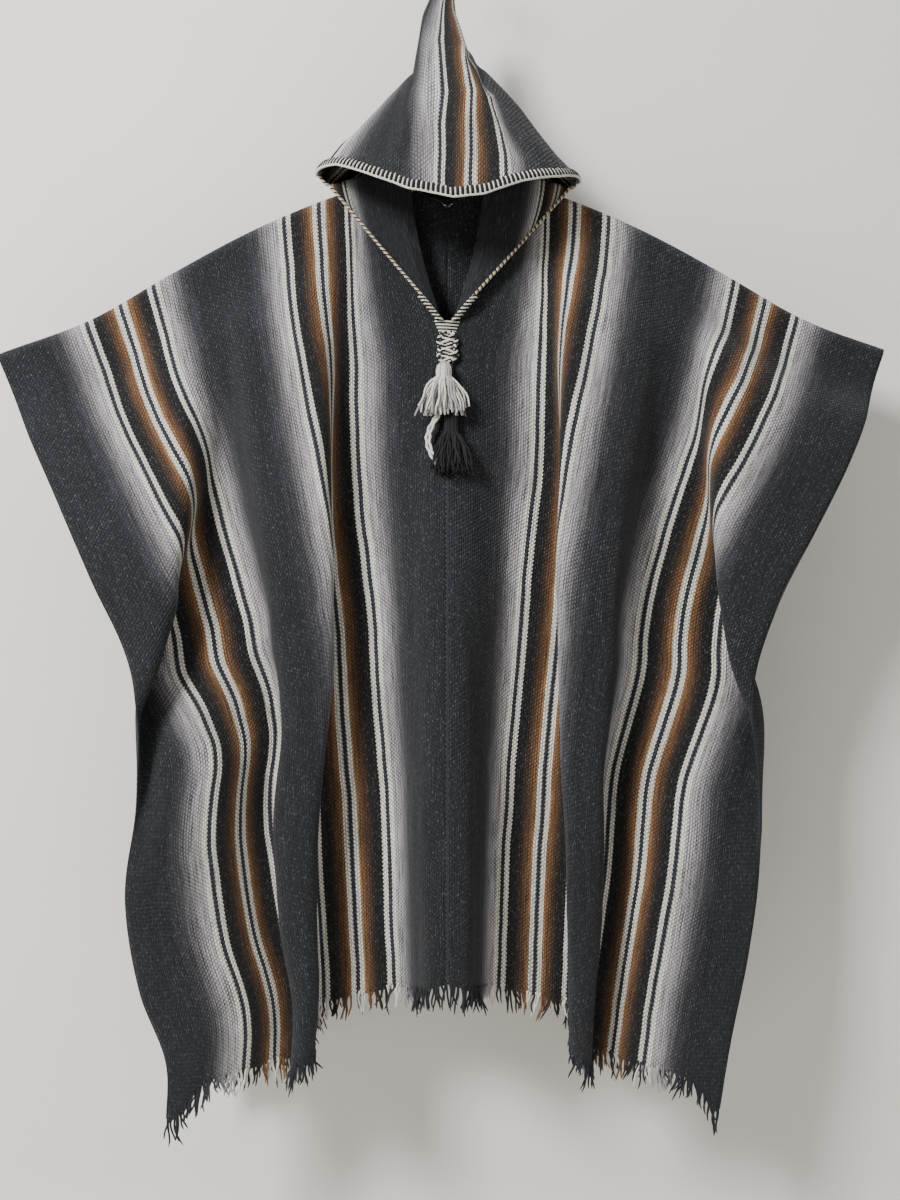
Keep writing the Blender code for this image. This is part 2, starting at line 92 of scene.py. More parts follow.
class Tree:
    """The nodes of one material."""

    def __init__(self, material):
        self.tree = material.node_tree

    def node(self, kind, settings=None, values=None):
        """Makes one node, with its settings first and then its inputs, and gives its outputs."""
        made = self.tree.nodes.new(kind)
        for name, value in (settings or {}).items():
            if name == "stops":
                set_stops(made.color_ramp, value)
            else:
                setattr(made, name, value)
        self.feed(made, values or {})
        return [Socket(self, output) for output in made.outputs]

    def feed(self, made, values):
        """Gives a node's inputs their values or links."""
        for key, value in values.items():
            if isinstance(value, Socket):
                self.tree.links.new(value.output, made.inputs[key])
            else:
                made.inputs[key].default_value = value


def set_stops(ramp, stops):
    """Gives a colour ramp its stops, each a place and a colour."""
    while len(ramp.elements) > 1:
        ramp.elements.remove(ramp.elements[-1])
    for n, (place, colour) in enumerate(stops):
        stop = ramp.elements[0] if n == 0 else ramp.elements.new(place)
        stop.position, stop.color = place, (*colour, 1.0)


def finish_of(name, colour, rough, height=None, depth=0.001, sheen=0.0, metallic=0.0):
    """A material. Its colour and height are functions of its tree, and its roughness is one or a number."""
    material = bpy.data.materials.new(name)
    material.use_nodes = True
    tree = Tree(material)
    shader = material.node_tree.nodes["Principled BSDF"]
    tree.feed(shader, {"Metallic": metallic, "Sheen Weight": sheen, "Sheen Roughness": 0.45,
                       "Sheen Tint": (0.8, 0.8, 0.8, 1.0), "Base Color": colour(tree),
                       "Roughness": rough(tree) if callable(rough) else rough})
    if height:
        values = {"Strength": 1.0, "Distance": depth, "Height": height(tree)}
        tree.feed(shader, {"Normal": tree.node("ShaderNodeBump", None, values)[0]})
    return material


def tint(*screen):
    """A colour as it looks on a screen, made linear for the shader."""
    return tuple(round(c / 255 / 12.92 if c < 10 else ((c / 255 + 0.055) / 1.055) ** 2.4, 5) for c in screen)


CHARCOAL = tint(24, 28, 34)
DARK_GREY = tint(52, 53, 59)
GREY = tint(104, 101, 105)
LIGHT = tint(163, 160, 161)
BLACK = tint(10, 10, 11)
TAN = tint(138, 101, 65)
BROWN = tint(94, 64, 38)
DEEP_BROWN = tint(50, 33, 22)
CREAM = tint(216, 212, 202)
THREAD = tint(38, 41, 50)

# one side of a band of stripes: distance from its middle line, colour
BAND = ((0.008, TAN), (0.014, BROWN), (0.021, DEEP_BROWN), (0.026, BLACK), (0.0425, BLACK),
        (0.043, LIGHT), (0.058, LIGHT), (0.069, GREY), (0.079, DARK_GREY), (0.094, CHARCOAL))
BAND_REACH = 0.1
PANEL_BANDS = (0.148, 0.399)
LINE_AWAY = 0.043
THREAD_EDGE = (0.0022, 0.0027)
WHITE_EDGE = (0.0084, 0.0078)
LINE_ZIGZAG = 0.0023
STRIPE_WANDER = 0.004
YARN_WIDTH = 0.0028
FLOAT_LENGTH = 0.0046
# how fine the heather is across the loom and along it, and its detail
STREAKS, HAIRS, PATCHES, FLECKS = (560, 22, 3.0), (1400, 90, 2.0), (40, 7, 2.0), (620, 210, 1.0)
FUZZ, PUCKERS = (900, 300, 2.0), (60, 38, 2.0)
FLECK_SHARE = 0.13


def woven_place(tree):
    """A point's own place in the cloth: across the loom and along it, in metres."""
    mark = tree.node("ShaderNodeUVMap", {"uv_map": "cloth"})[0]
    return tree.node("ShaderNodeSeparateXYZ", None, {0: mark})[:2]


def blend(tree, share, under, over, way="MIX"):
    settings = {"data_type": "RGBA", "blend_type": way}
    return tree.node("ShaderNodeMix", settings, {0: share, 6: under, 7: over})[2]


def shaded(tree, colour, shade):
    """The colour times a number."""
    grey = tree.node("ShaderNodeCombineColor", None, {0: shade, 1: shade, 2: shade})[0]
    return blend(tree, 1.0, colour, grey, "MULTIPLY")


def stripes(tree, middles):
    """The place in the cloth, the stripe's colour there, and the share of white line in it."""
    across, along = woven_place(tree)
    wander = tree.node("ShaderNodeTexNoise", {"noise_dimensions": "1D"},
                       {"W": along * 9.0, "Scale": 1.0, "Detail": 2.0})[0]
    across = across + (wander - 0.5) * STRIPE_WANDER
    far = None
    for middle in middles:
        away = (across - middle).math("ABSOLUTE")
        far = away if far is None else far.math("MINIMUM", away)
    stops = [(away / BAND_REACH, colour) for away, colour in BAND]
    ground = tree.node("ShaderNodeValToRGB", {"stops": stops}, {0: far / BAND_REACH})[0]
    zigzag = along.math("PINGPONG", LINE_ZIGZAG) * 0.55 - 0.0006
    line = far.math("MINIMUM", (far - LINE_AWAY).math("ABSOLUTE")) + zigzag
    past_thread = line.fade(*THREAD_EDGE)
    white = past_thread * line.fade(*WHITE_EDGE)
    colour = blend(tree, white, ground, (*CREAM, 1.0))
    return across, along, blend(tree, 1 - past_thread, colour, (*THREAD, 1.0)), white


def yarn_weave(tree, across, along):
    """Height of the warp yarns: long floats, each column half a float behind the next, as if plaited. In the
    wool's colour it is painted shade, darker in the gaps between the floats and lighter on their tops.
    """
    column = across / YARN_WIDTH
    whole = column.math("FLOOR")
    arch = (column - whole - 0.5).math("ABSOLUTE") * 2.0
    beat = (along / FLOAT_LENGTH + whole * 0.5) * (2 * pi)
    return (1 - arch * arch) * (beat.math("SINE") * 0.45 + 0.55)


def cloth_noise(tree, across, along, fineness):
    fine_across, fine_along, detail = fineness
    place = tree.node("ShaderNodeCombineXYZ", None, {0: across * fine_across, 1: along * fine_along})[0]
    return tree.node("ShaderNodeTexNoise", {"noise_dimensions": "2D"},
                     {"Vector": place, "Scale": 1.0, "Detail": detail})[0]


def wool_height(tree):
    across, along = woven_place(tree)
    fuzz = cloth_noise(tree, across, along, FUZZ)
    pucker = cloth_noise(tree, across, along, PUCKERS)
    return yarn_weave(tree, across, along) + fuzz * 0.5 + pucker * 2.2


def striped_wool(name, middles):
    """Heathered wool with bands of stripes about the given middle lines."""
    def colour(tree):
        across, along, base, white = stripes(tree, middles)
        streak = cloth_noise(tree, across, along, STREAKS)
        hair = cloth_noise(tree, across, along, HAIRS)
        patch = cloth_noise(tree, across, along, PATCHES)
        mottle = (streak - 0.5) * (1.7 - white * 1.3) + (hair - 0.5) * 0.9 + (patch - 0.5) * 0.6
        # the weave term is painted shade, darker in the gaps between the yarn floats and lighter on their
        # tops; the mottle is the wool's own heather
        shade = mottle + yarn_weave(tree, across, along) * 0.95 + 0.5
        spots = cloth_noise(tree, across, along, FLECKS).fade(0.58, 0.74)
        flecked = blend(tree, spots * (FLECK_SHARE - white * FLECK_SHARE), base, (*LIGHT, 1.0))
        return shaded(tree, flecked, shade)

    return finish_of(name, colour, 0.95, wool_height, depth=0.0011, sheen=0.05)


panel_wool = striped_wool("striped_wool", PANEL_BANDS)

# Panels: two loom widths of the striped wool, each hung from the shoulder fold to a front and a back hem,
# and sewn edge to edge down the middle but for the neck slit. The sheet is turned across the body by its
# large folds, and its length down the cloth is kept.
PANEL_WIDTH = 0.550
DROP = 0.935
SEAM = 0.0003
RIDGE_RADIUS = 0.0115
RIDGE_END = 0.020
PAST_HEM = 0.040
DRAPE_COLUMNS, DRAPE_ROWS = 107, 118
SLIT_FRONT = 0.215
SLIT_BACK = 0.060
SLIT_HALF_WIDTH = 0.046
WOOL_THICK = 0.0020
SHOULDER = ((0.046, -0.290), (0.145, -0.322), (0.236, -0.361), (0.327, -0.410), (0.418, -0.462),
            (0.520, -0.500))
# large folds: place across the cloth at the top and at the hem, half width at the top and at the hem,
# and how many degrees the fold turns the cloth at each station down it
STATIONS = (0.0, 0.15, 0.30, 0.45, 0.60, 0.75, 0.935)
FOLDS_LEFT = (
    (0.055, 0.055, 0.055, 0.055, (0, 0, -15, -42, -58, -68, -74)),
    (0.115, 0.245, 0.030, 0.046, (0, 42, 88, 109, 108, 106, 102)),
    (0.275, 0.340, 0.040, 0.046, (0, -30, -70, -85, -93, -96, -94)),
    (0.230, 0.800, 0.040, 0.050, (0, 25, 85, 110, 100, 90, 70)),
    (0.400, 0.405, 0.060, 0.062, (0, 0, 0, 15, 58, 52, 40)),
)
FOLDS_RIGHT = (
    (0.055, 0.055, 0.055, 0.055, (0, 0, -15, -42, -58, -70, -76)),
    (0.120, 0.235, 0.032, 0.045, (0, 58, 98, 112, 106, 102, 100)),
    (0.275, 0.330, 0.040, 0.045, (0, -30, -70, -84, -88, -92, -92)),
    (0.285, 0.727, 0.040, 0.050, (0, 50, 95, 118, 115, 90, 70)),
    (0.400, 0.400, 0.060, 0.060, (0, 0, 0, 0, 20, 35, 35)),
)
# side edges: how far down the cloth, how far out
EDGE_LEFT = ((0.0, 0.530), (0.106, 0.487), (0.209, 0.440), (0.307, 0.396), (0.435, 0.342),
             (0.55, 0.338), (0.68, 0.352), (0.78, 0.338), (0.87, 0.310), (0.935, 0.312))
EDGE_RIGHT = ((0.0, 0.514), (0.081, 0.486), (0.157, 0.455), (0.259, 0.409), (0.357, 0.365),
              (0.457, 0.338), (0.55, 0.348), (0.65, 0.350), (0.75, 0.335), (0.85, 0.315), (0.935, 0.302))


def smooth(t):
    t = np.clip(t, 0.0, 1.0)
    return t * t * (3.0 - 2.0 * t)


def cubic(x, xs, ys):
    """A smooth curve through the points xs, ys."""
    xs, ys = np.asarray(xs, float), np.asarray(ys, float)
    step = np.diff(xs)
    rise = np.diff(ys) / step
    slope = np.empty(len(xs))
    slope[0], slope[-1] = rise[0], rise[-1]
    slope[1:-1] = (rise[:-1] * step[1:] + rise[1:] * step[:-1]) / (step[:-1] + step[1:])
    i = np.clip(np.searchsorted(xs, x) - 1, 0, len(step) - 1)
    t = (x - xs[i]) / step[i]
    return (ys[i] * (1 + 2 * t) * (1 - t) ** 2 + slope[i] * step[i] * t * (1 - t) ** 2
            + ys[i + 1] * t * t * (3 - 2 * t) + slope[i + 1] * step[i] * t * t * (t - 1))


def soften(rows, times):
    """Rows evened out along their length, with their ends kept."""
    for _ in range(times):
        wide = np.concatenate([2 * rows[:1] - rows[1:2], rows, 2 * rows[-1:] - rows[-2:-1]])
        rows = (wide[:-2] + 2 * wide[1:-1] + wide[2:]) / 4
    return rows


class Drape:
    """One face of a panel, hung from its shoulder fold: u runs out from the seam, v down from the fold."""

    def __init__(self, folds, edge, side, face, slit, hem_depth, sharp, relief, inset):
        self.u = np.linspace(0.0, PANEL_WIDTH, DRAPE_COLUMNS)
        self.v = np.linspace(0.0, DROP + PAST_HEM, DRAPE_ROWS)
        across, down = np.meshgrid(self.u, self.v, indexing="ij")
        share = down / DROP
        turn = np.zeros_like(across)
        for u_top, u_hem, wide_top, wide_hem, angles in folds:
            off = across - u_top - (u_hem - u_top) * share
            reach = np.abs(off) / (wide_top + (wide_hem - wide_top) * share)
            angle = np.radians(cubic(np.minimum(down, DROP), STATIONS, angles))
            turn += sharp * angle * (1 - smooth((reach - 0.30) / 0.90))
        turn *= smooth(across / 0.035)
        ridge_x, ridge_z = np.array(SHOULDER).T
        run = np.concatenate([[0.0], np.cumsum(np.hypot(np.diff(ridge_x), np.diff(ridge_z)))])
        z_top = cubic(self.u, run, ridge_z)
        parting = SLIT_HALF_WIDTH * smooth(1 - self.v / slit) ** 0.5 + SEAM / 2 + 0.0001
        side_line = cubic(np.minimum(self.v, DROP), *np.array(edge).T)
        du, dv = self.u[1], self.v[1]
        z = z_top[:, None] - down
        nought_u, nought_v = np.zeros((1, len(self.v))), np.zeros((len(self.u), 1))
        for _ in range(5):
            lean = np.sqrt(np.clip(1 - np.gradient(z, du, axis=0) ** 2, 0.05, 1))
            step_x, step_y = np.cos(turn) * lean, np.sin(turn) * lean
            x = np.concatenate([nought_u, np.cumsum((step_x[1:] + step_x[:-1]) / 2 * du, axis=0)])
            y = np.concatenate([nought_u, np.cumsum((step_y[1:] + step_y[:-1]) / 2 * du, axis=0)])
            x += parting[None] * (1 - smooth(across / 0.14)) + 0.006 * smooth(across / 0.14)
            miss = side_line - inset - x[-1]
            x += miss[None] * smooth((across / PANEL_WIDTH - 0.15) / 0.85)
            z_top = cubic(x[:, 0], ridge_x, ridge_z)
            y = (y - 0.5 * y.mean(0)) * relief * smooth((down - RIDGE_END) / 0.10)
            slope = np.gradient(x, dv, axis=1) ** 2 + np.gradient(y, dv, axis=1) ** 2
            fall = np.sqrt(np.clip(1 - slope, 0.15, 1))
            drop = np.cumsum((fall[:, 1:] + fall[:, :-1]) / 2 * dv, axis=1)
            z = soften(z_top[:, None] - np.concatenate([nought_v, drop], axis=1), 6)
        clear = soften(np.minimum(y.min(0), 0.0), 20)
        y = y - clear[None] * smooth((down - RIDGE_END) / 0.12)
        base = RIDGE_RADIUS + hem_depth * smooth(self.v / DROP)
        self.face = face
        self.x, self.y, self.z = side * x, face * (y + base[None]), z + RIDGE_RADIUS * (pi / 2 - 1)
        weight = 1 + 0.045 * np.abs(np.gradient(turn, du, axis=0))
        self.effort = np.concatenate([nought_u, np.cumsum((weight[1:] + weight[:-1]) / 2, axis=0)])

    def spread(self, shares, v):
        """Places across the cloth, closer together where it turns sharply."""
        j = int(round(min(abs(v) / self.v[1], len(self.v) - 1)))
        return np.interp(shares * self.effort[-1, j], self.effort[:, j], self.u)

    def at(self, u, v):
        """The point at u, v, carried over the rounded ridge of the shoulder."""
        a = np.clip(np.asarray(u, float) / self.u[1], 0, len(self.u) - 1.000001)
        b = np.clip(np.asarray(v, float) / self.v[1], 0, len(self.v) - 1.000001)
        i, j = a.astype(int), b.astype(int)
        a, b = a - i, b - j
        x, y, z = ((f[i, j] * (1 - a) + f[i + 1, j] * a) * (1 - b)
                   + (f[i, j + 1] * (1 - a) + f[i + 1, j + 1] * a) * b for f in (self.x, self.y, self.z))
        bend = np.minimum(np.asarray(v, float) / RIDGE_RADIUS, pi / 2)
        y = y - self.face * RIDGE_RADIUS * (1 - np.sin(bend))
        z = z + RIDGE_RADIUS * (bend + np.cos(bend) - pi / 2)
        return np.stack([x, y, z], -1)


class Panel:
    """A loom width over the shoulder: v is positive on the front and negative on the back."""

    def __init__(self, folds, edge, side):
        self.front = Drape(folds, edge, side, face=-1, slit=SLIT_FRONT, hem_depth=0.030,
                           sharp=1.0, relief=1.0, inset=0.0)
        self.back = Drape(folds, edge, side, face=1, slit=SLIT_BACK, hem_depth=0.012,
                          sharp=0.75, relief=0.60, inset=0.008)

    def at(self, u, v):
        v = np.asarray(v, float)
        return np.where((v >= 0)[..., None], self.front.at(u, np.abs(v)), self.back.at(u, np.abs(v)))


left = Panel(FOLDS_LEFT, EDGE_LEFT, -1)
right = Panel(FOLDS_RIGHT, EDGE_RIGHT, 1)
# the two panels meet in one line, so the places near the seam are drawn to the middle of both
for one, two in ((left.front, right.front), (left.back, right.back)):
    seam = {axis: (getattr(one, axis)[0] + getattr(two, axis)[0]) / 2 for axis in ("y", "z")}
    for sheet in (one, two):
        fade = (1 - smooth(sheet.u / 0.12))[:, None]
        for axis, line in seam.items():
            places = getattr(sheet, axis)
            places += (line - places[0])[None] * fade


def cloth(name, places, marks, material):
    """A sheet of wool from a grid of places (columns, rows) and the woven place at each."""
    columns, rows = places.shape[:2]
    bm = bmesh.new()
    bmesh.ops.create_grid(bm, x_segments=columns - 1, y_segments=rows - 1, size=1)
    bm.verts.ensure_lookup_table()
    spots = np.array([v.co[:2] for v in bm.verts])
    order = np.rint((spots + 1) / 2 * (columns - 1, rows - 1)).astype(int)
    mesh = bpy.data.meshes.new(name)
    bm.to_mesh(mesh)
    bm.free()
    mesh.vertices.foreach_set("co", places[order[:, 0], order[:, 1]].astype(np.float32).ravel())
    woven = mesh.uv_layers.new(name="cloth")
    corners = np.empty(len(mesh.loops), int)
    mesh.loops.foreach_get("vertex_index", corners)
    woven.data.foreach_set("uv", marks[order[corners, 0], order[corners, 1]].astype(np.float32).ravel())
    mesh.shade_smooth()
    mesh.materials.append(material)
    obj = bpy.data.objects.new(name, mesh)
    bpy.context.scene.collection.objects.link(obj)
    thicken(obj)
    return obj


def thicken(obj):
    wall = obj.modifiers.new("thickness", "SOLIDIFY")
    wall.thickness, wall.offset = WOOL_THICK, 0.0


# soft troughs and ridges: from u, v to u, v, half width, height towards the viewer
CREASES = {
    "left": ((0.03, 0.25, 0.05, 0.60, 0.012, 0.0015), (0.08, 0.45, 0.10, 0.80, 0.014, -0.0018),
             (0.30, 0.10, 0.38, 0.42, 0.012, 0.0025), (0.24, 0.06, 0.29, 0.30, 0.016, -0.0025),
             (0.40, 0.05, 0.50, 0.22, 0.012, 0.0020), (0.47, 0.30, 0.50, 0.62, 0.012, -0.0022),
             (0.34, 0.62, 0.36, 0.90, 0.010, 0.0022), (0.16, 0.30, 0.18, 0.55, 0.009, -0.0018),
             (0.44, 0.55, 0.47, 0.85, 0.012, 0.0022), (0.12, 0.72, 0.15, 0.93, 0.012, 0.0020)),
    "right": ((0.02, 0.35, 0.04, 0.75, 0.012, 0.0016), (0.10, 0.50, 0.11, 0.88, 0.012, -0.0018),
              (0.26, 0.08, 0.33, 0.34, 0.014, 0.0025), (0.33, 0.06, 0.42, 0.28, 0.014, -0.0022),
              (0.45, 0.08, 0.52, 0.24, 0.012, 0.0020), (0.40, 0.40, 0.42, 0.70, 0.012, 0.0022),
              (0.49, 0.62, 0.47, 0.86, 0.010, -0.0022), (0.20, 0.32, 0.24, 0.60, 0.010, 0.0018),
              (0.44, 0.88, 0.53, 0.895, 0.008, -0.0030), (0.30, 0.70, 0.33, 0.92, 0.012, -0.0020)),
}


def crease_height(u, v, rows):
    """The height of all creases at u, v, each a slightly wavering trough or ridge that fades at its ends."""
    total = np.zeros_like(u)
    for u0, v0, u1, v1, wide, high in rows:
        run = np.array([u1 - u0, v1 - v0])
        along = ((u - u0) * run[0] + (v - v0) * run[1]) / (run @ run)
        off = ((u - u0) * run[1] - (v - v0) * run[0]) / np.linalg.norm(run)
        off = off + 0.35 * wide * np.sin(along * 5.0 + u0 * 40)
        faded = smooth((along + 0.15) / 0.4) * smooth((1.15 - along) / 0.4)
        total += high * np.exp(-(off / wide) ** 2) * faded
    return total


COLUMNS = 150
SEAM_CLEAR = 0.00025
BACK_ROWS, RIDGE_ROWS, FRONT_ROWS = 84, 11, 130
v_rows = np.concatenate([-np.linspace(DROP, RIDGE_END, BACK_ROWS), np.linspace(-0.018, 0.018, RIDGE_ROWS),
                         np.linspace(RIDGE_END, DROP, FRONT_ROWS)])
panel_hems, panel_pieces = {}, {}
# each panel's own stretch of the warp, so that its heather isn't the other's
for side, panel, warp_start in (("left", left, 1.0), ("right", right, 4.3)):
    face_up = -1 if side == "left" else 1
    shares = np.linspace(0.0, 1.0, COLUMNS)
    u = np.stack([(panel.front if v >= 0 else panel.back).spread(shares, v) for v in v_rows], 1)
    v = np.broadcast_to(v_rows, u.shape)
    places = panel.at(u, v)
    out = np.cross(np.gradient(places, axis=0), np.gradient(places, axis=1))
    out /= np.linalg.norm(out, axis=-1, keepdims=True)
    rise = crease_height(u, np.abs(v), CREASES[side])
    rise += 0.0007 * np.sin(u * 61 + v * 9) * np.sin(v * 33 + u * 12)
    rise *= smooth(u / 0.02) * smooth((np.abs(v) - 0.02) / 0.06) * face_up
    places = places + out * rise[..., None]
    places[:, :, 0] = face_up * np.maximum(face_up * places[:, :, 0], SEAM_CLEAR)
    piece = cloth("wool_panel_" + side, places, np.stack([u, v + warp_start], -1), panel_wool)
    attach(piece, "root")
    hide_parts("panel_" + side)
    "panel_" + side
    panel_hems[side] = places, u
    panel_pieces[side] = [piece]

# Hood: one length of the same cloth folded in two, its front edge open round the face and its foot sewn
# to the neck slit. It hangs from its peak, and the cloth falls from there in soft pleats.
HOOD_LEVEL = -0.294
HOOD_DEPTH = 0.26
# height, half widths to the left and right, depths ahead and behind
HOOD_ROWS = np.array((
    (-0.068, 0.014, 0.006, 0.006, 0.006),
    (-0.103, 0.0285, 0.009, 0.014, 0.012),
    (-0.146, 0.0365, 0.023, 0.030, 0.018),
    (-0.165, 0.040, 0.045, 0.038, 0.020),
    (-0.184, 0.058, 0.064, 0.046, 0.024),
    (-0.210, 0.081, 0.088, 0.058, 0.027),
    (-0.236, 0.105, 0.108, 0.070, 0.030),
    (-0.262, 0.127, 0.128, 0.082, 0.032),
    (HOOD_LEVEL, 0.152, 0.154, 0.094, 0.034),
))
# the rim round the face: x, z
HOOD_RIM = np.array(((-0.152, -0.294), (-0.124, -0.301), (-0.081, -0.3225), (-0.040, -0.341), (0.007, -0.351),
                     (0.040, -0.3465), (0.083, -0.328), (0.1265, -0.314), (0.154, -0.302)))
# how far round from the back, how far down the slit's edge the foot is sewn
HOOD_SEAM = np.array(((0.0, -0.0592), (0.24, -0.046), (0.42, -0.032), (0.49, -0.018), (0.53, -0.012),
                      (0.57, -0.006), (0.61, 0.0), (0.65, 0.006), (0.69, 0.012), (0.73, 0.018),
                      (0.79, 0.060), (0.86, 0.112), (0.93, 0.158), (1.0, 0.190)))
CLOTH = 0.0024


def hood_point(turn, share):
    """A place on the cap: turn goes round from the back, share from the peak down to the rim."""
    level = HOOD_ROWS[0, 0] + (HOOD_LEVEL - HOOD_ROWS[0, 0]) * share
    sizes = [np.interp(-level, -HOOD_ROWS[:, 0], HOOD_ROWS[:, k]) for k in (1, 2, 3, 4)]
    wide_left, wide_right, ahead, behind = sizes
    x = sin(turn) * (wide_right if sin(turn) > 0 else wide_left)
    y = cos(turn) * (behind if cos(turn) > 0 else ahead) - 0.010 * share * (1 - cos(turn))
    drop = np.interp(x, *HOOD_RIM.T) - HOOD_LEVEL
    if cos(turn) > 0:
        drop *= sin(turn) ** 4
    return Vector((x, y, level + drop * share ** 2))


def panel_y(x, z, ahead):
    """Where the front or back of the panels lies at x, z, evened out over about 9 mm."""
    panel = left if x < 0 else right
    near = panel.front if ahead else panel.back
    hung = near.v > RIDGE_END
    pull = np.exp(-((near.x - x) ** 2 + (near.z - z) ** 2)[:, hung] / (2 * 0.009 ** 2)) + 1e-12
    return float((pull * near.y[:, hung]).sum() / pull.sum())


def neck_point(turn, lift):
    """A place on the slit's edge, just inside the panel and lifted off it."""
    panel = left if turn < 0 else right
    v = float(np.interp(abs(turn) / (pi / 2), *HOOD_SEAM.T))
    place = Vector(panel.at(0.0, v))
    along = Vector(panel.at(0.0, v + 0.004)) - Vector(panel.at(0.0, v - 0.004))
    bend = np.clip(v / RIDGE_RADIUS, -pi / 2, pi / 2)
    out = Vector((0.0, -sin(bend), cos(bend)))
    inward = out.cross(along).normalized()
    if inward.x * place.x > 0:
        inward.negate()
    return place + inward * (CLOTH / 2 + SEAM + 0.0007) + out * lift


def foot_point(turn, way):
    """A place below the rim's level: way goes down to the slit's edge at 1, and past it to the hem inside."""
    top, low = hood_point(turn, 1.0), neck_point(turn, 0.006)
    if way > 1:
        return low.lerp(neck_point(turn, 0.0), (way - 1) / 0.25)
    share = abs(turn) / (pi / 2)
    p = top.lerp(low, way)
    p.z -= 0.004 * (1 - share ** 8) * sin(pi * way ** 0.45)
    shoulder = float(cubic(max(abs(p.x), SHOULDER[0][0]), *np.array(SHOULDER).T))
    past = smooth((shoulder + 0.016 - p.z) / 0.010) * smooth((1 - way) / 0.12)
    if share > 0.61:
        p.y += (min(p.y, panel_y(p.x, p.z, True) - 0.007 - 0.020 * (share - 0.6)) - p.y) * past
    else:
        p.y += (max(p.y, panel_y(p.x, p.z, False) + 0.006) - p.y) * past
    return p


# stripes up the face of the hood: place along its front edge, then x at each height
FACE_EDGES = (0.245, 0.258, 0.295, 0.386, 0.400, 0.423, 0.466, 0.509, 0.546, 0.585, 0.606)
FACE_PLACES = np.array((
    (-0.350, -0.152, -0.136, -0.104, -0.041, -0.025, -0.009, 0.025, 0.066, 0.094, 0.146, 0.154),
    (-0.300, -0.152, -0.136, -0.102, -0.042, -0.026, -0.008, 0.026, 0.065, 0.088, 0.146, 0.154),
    (-0.262, -0.127, -0.116, -0.084, -0.043, -0.028, -0.009, 0.026, 0.059, 0.068, 0.122, 0.128),
    (-0.217, -0.087, -0.081, -0.060, -0.043, -0.030, -0.004, 0.028, 0.051, 0.0545, 0.088, 0.093),
    (-0.172, -0.045, -0.044, -0.042, -0.036, -0.026, -0.008, 0.021, 0.0225, 0.024, 0.050, 0.053),
    (-0.146, -0.0370, -0.0365, -0.035, -0.032, -0.024, -0.010, 0.020, 0.021, 0.0215, 0.0225, 0.023),
    (-0.103, -0.0285, -0.0280, -0.026, -0.022, -0.016, -0.006, 0.0075, 0.0080, 0.0083, 0.0087, 0.009),
    (-0.068, -0.0140, -0.0135, -0.012, -0.010, -0.007, -0.002, 0.0048, 0.0052, 0.0055, 0.0058, 0.006),
))
# soft pleats of the face: x, z to x, z, half width, height
FACE_CREASES = (
    (-0.034, -0.120, -0.044, -0.330, 0.007, -0.0045), (-0.022, -0.110, -0.030, -0.340, 0.009, 0.0035),
    (-0.004, -0.120, -0.004, -0.300, 0.007, -0.0022), (0.012, -0.110, 0.044, -0.250, 0.009, 0.0035),
    (0.024, -0.135, 0.060, -0.255, 0.006, -0.0050), (0.060, -0.200, 0.100, -0.300, 0.014, 0.0025),
    (-0.060, -0.190, -0.105, -0.290, 0.014, 0.0025), (-0.045, -0.180, -0.070, -0.300, 0.008, -0.0018),
)


def face_edge(x, z):
    """The place along the hood's front edge that the stripe at x, z runs down to."""
    spots = [np.interp(z, FACE_PLACES[:, 0], FACE_PLACES[:, n + 1]) for n in range(len(FACE_EDGES))]
    return float(np.interp(x, spots, FACE_EDGES))


# along the front edge: places of the rim's corner, of the foot and of the peak
LEFT_SIDE, RIGHT_SIDE = (0.245, 0.0, 0.420), (0.606, 0.860, 0.440)


def hood_mark(turn, p, share, way, side_left):
    """The woven place: along the hood's front edge, and back from that edge."""
    back_from_edge = 1.0 - share * HOOD_DEPTH
    if cos(turn) < -1e-6:
        return face_edge(p[0], p[2]), back_from_edge
    corner, foot, peak = LEFT_SIDE if side_left else RIGHT_SIDE
    back = peak + (foot - peak) * (0.85 * share + 0.15 * way)
    edge = corner + (foot - corner) * way
    return edge + (back - edge) * cos(turn) ** 2, back_from_edge + (pi / 2 - abs(turn)) * 0.12


face_turns = np.linspace(pi / 2, 3 * pi / 2, 110)[1:]
half_back = np.linspace(0.0, pi / 2, 37)
back_columns = [(-turn, True) for turn in half_back[::-1]] + [(turn, False) for turn in half_back]
cap_columns = back_columns + [(turn, turn > pi) for turn in face_turns]
down_shares = np.linspace(0.0, 1.0, 64)
ways = np.concatenate([np.linspace(0, 1, 34), [1.08, 1.16, 1.25]])
HOOD_BANDS = (0.215, 0.466, 0.665)
hood_wool = striped_wool("striped_hood_wool", HOOD_BANDS)

cap_points = np.array([[hood_point(turn, share) for share in down_shares] for turn, _ in cap_columns])
cap_marks = np.array([[hood_mark(turn, p, share, 0.0, side_left) for share, p in zip(down_shares, column)]
                      for (turn, side_left), column in zip(cap_columns, cap_points)])
face_first = len(back_columns) - 1
out = np.cross(np.gradient(cap_points[face_first:], axis=0), np.gradient(cap_points[face_first:], axis=1))
out /= np.linalg.norm(out, axis=-1, keepdims=True) + 1e-12
out *= np.where(out[..., 1:2] > 0, -1, 1)
rise = crease_height(cap_points[face_first:, :, 0], cap_points[face_first:, :, 2], FACE_CREASES)
ends = np.sin(np.linspace(0, pi, len(rise))) ** 0.5
cap_points[face_first:] += out * (rise * ends[:, None] * smooth(down_shares / 0.15))[..., None]
foot_points = np.array([[foot_point(turn, way) for way in ways] for turn, _ in back_columns])
foot_marks = np.array([[hood_mark(turn, p, 1.0, min(way, 1.0), side_left) for way, p in zip(ways, column)]
                       for (turn, side_left), column in zip(back_columns, foot_points)])
hood = cloth("wool_hood", cap_points, cap_marks, hood_wool)
neck = cloth("hood_neck", foot_points, foot_marks, hood_wool)
bpy.ops.object.select_all(action="DESELECT")
for half in (neck, hood):
    half.modifiers.clear()
    half.select_set(True)
bpy.context.view_layer.objects.active = hood
bpy.ops.object.join()
bm = bmesh.new()
